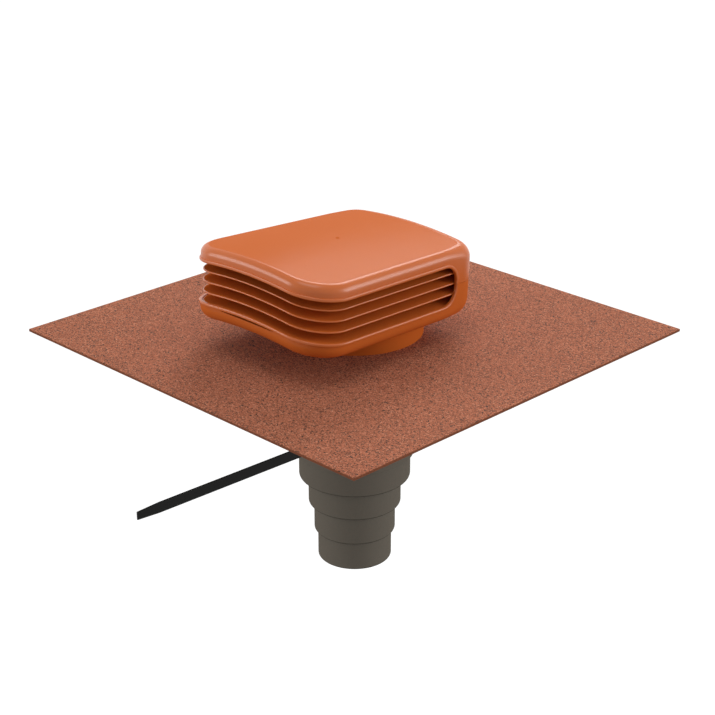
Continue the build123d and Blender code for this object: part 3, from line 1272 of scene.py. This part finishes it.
@dataclass(frozen=True)
class Studio:
    """Camera, lamps, white surroundings and a pale floor."""

    lens: float = 86.166
    camera_place: tuple[float, float, float] = (1.4629, -1.4574, 0.8482)
    camera_tilt: float = math.radians(66.802)
    camera_turn: float = math.radians(45.0)
    ambient: float = 0.40
    floor_level: float = -1.1
    floor_reach: float = 14.0
    floor_grey: float = 0.8
    floor_glow: float = 1.15
    glow_share: float = 0.85
    lamps: tuple[SoftBox, ...] = (
        SoftBox("lamp_back", (-1.45, 2.2, 2.0), 1.6, 54.0),
        SoftBox("lamp_right", (2.4, 2.05, 0.75), 1.7, 42.0),
        SoftBox("lamp_left", (-2.05, -2.4, 0.75), 1.7, 38.0),
        SoftBox("lamp_top", (0.2, -0.5, 3.1), 1.8, 25.0),
    )

    def camera(self) -> None:
        """Adds the camera at the photograph's place."""
        data = bpy.data.cameras.new("camera")
        data.lens = self.lens
        data.sensor_width = 36.0
        data.clip_end = 100.0
        holder = bpy.data.objects.new("camera", data)
        holder.location = self.camera_place
        holder.rotation_euler = (self.camera_tilt, 0.0, self.camera_turn)
        bpy.context.scene.collection.objects.link(holder)
        bpy.context.scene.camera = holder

    @staticmethod
    def seen(shader: Shader) -> Wire:
        """One for a ray from the camera, a mirror or glass, and zero for one that only brings light.

        Args:
            shader: The shader that asks.

        Returns:
            The switch as a wire.
        """
        rays = ("Is Camera Ray", "Is Glossy Ray", "Is Transmission Ray")
        camera, glossy, through = (shader.node("ShaderNodeLightPath", output=ray) for ray in rays)
        return camera.most(glossy).most(through)

    def surroundings(self) -> None:
        """White world where it is seen, at a plain level where it lights the object."""
        world = bpy.data.worlds.new("surroundings")
        world.use_nodes = True
        bpy.context.scene.world = world
        shader = Shader(world.node_tree)
        strength = self.ambient + self.seen(shader) * (1.0 - self.ambient)
        white = shader.node("ShaderNodeBackground", {}, {"Color": (1.0, 1.0, 1.0, 1.0), "Strength": strength})
        shader.surface(white, "ShaderNodeOutputWorld")

    def floor(self) -> None:
        """Pale floor well below the part: matt white that also glows where it is seen, and keeps a soft shadow."""
        reach = np.array([-self.floor_reach, self.floor_reach])
        across, along = np.meshgrid(reach, reach, indexing="ij")
        points = np.stack([across, along, np.full((2, 2), self.floor_level)], axis=-1)
        grid = Grid(points)
        mesh = bpy.data.meshes.new("floor")
        mesh.from_pydata(points.reshape(-1, 3).tolist(), [], grid.quads().tolist())
        material, shader = new_material("pale_floor")
        matt = shader.node("ShaderNodeBsdfDiffuse", {}, {"Color": (*[self.floor_grey] * 3, 1.0)})
        glow = shader.node("ShaderNodeEmission", {}, {"Color": (1.0, 1.0, 1.0, 1.0), "Strength": self.floor_glow})
        share = self.seen(shader) * self.glow_share
        shader.surface(shader.node("ShaderNodeMixShader", {}, {0: share, 1: matt, 2: glow}))
        mesh.materials.append(material)
        holder = bpy.data.objects.new("floor", mesh)
        bpy.context.scene.collection.objects.link(holder)

    def build(self) -> None:
        """Sets up the whole studio."""
        self.camera()
        for lamp in self.lamps:
            lamp.build()
        self.surroundings()
        self.floor()
        bpy.context.scene.view_settings.view_transform = "Standard"


def dress_node(name: str, material: bpy.types.Material) -> None:
    """Gives a carried-over CAD node its finish.

    Args:
        name: The node's name.
        material: Its finish.
    """
    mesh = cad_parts[name].data
    mesh.materials.clear()
    mesh.materials.append(material)
    log.info("%s: carried over", name)


def main() -> None:
    """Builds the pieces in order, then the studio."""
    logging.basicConfig(level=logging.INFO, format="%(name)s %(message)s")
    orange = MouldedPlastic("orange_moulding", srgb(203, 103, 42), srgb(198, 99, 41), 0.30, specular=0.0)
    grey = MouldedPlastic("grey_moulding", srgb(107, 101, 92), srgb(102, 96, 87), 0.55, 0.0009, 0.00004, 0.0)
    black = MouldedPlastic("black_nylon", srgb(24, 24, 23), srgb(20, 20, 19), 0.5, 0.0006, 0.00002, 0.1)
    rubber = MouldedPlastic("seal_rubber", srgb(40, 40, 40), srgb(34, 34, 34), 0.7, 0.0008, 0.00003, 0.3)
    Hood().build(orange.build())
    RoofSheet().build(MineralFelt("mineral_felt").build())
    DuctRun().build(grey.build())
    CableTie().build(black.build())
    dress_node("hood_screws", PlatedSteel("plated_steel").build())
    dress_node("neck_seal", rubber.build())
    Studio().build()


if __name__ == "__main__":
    main()
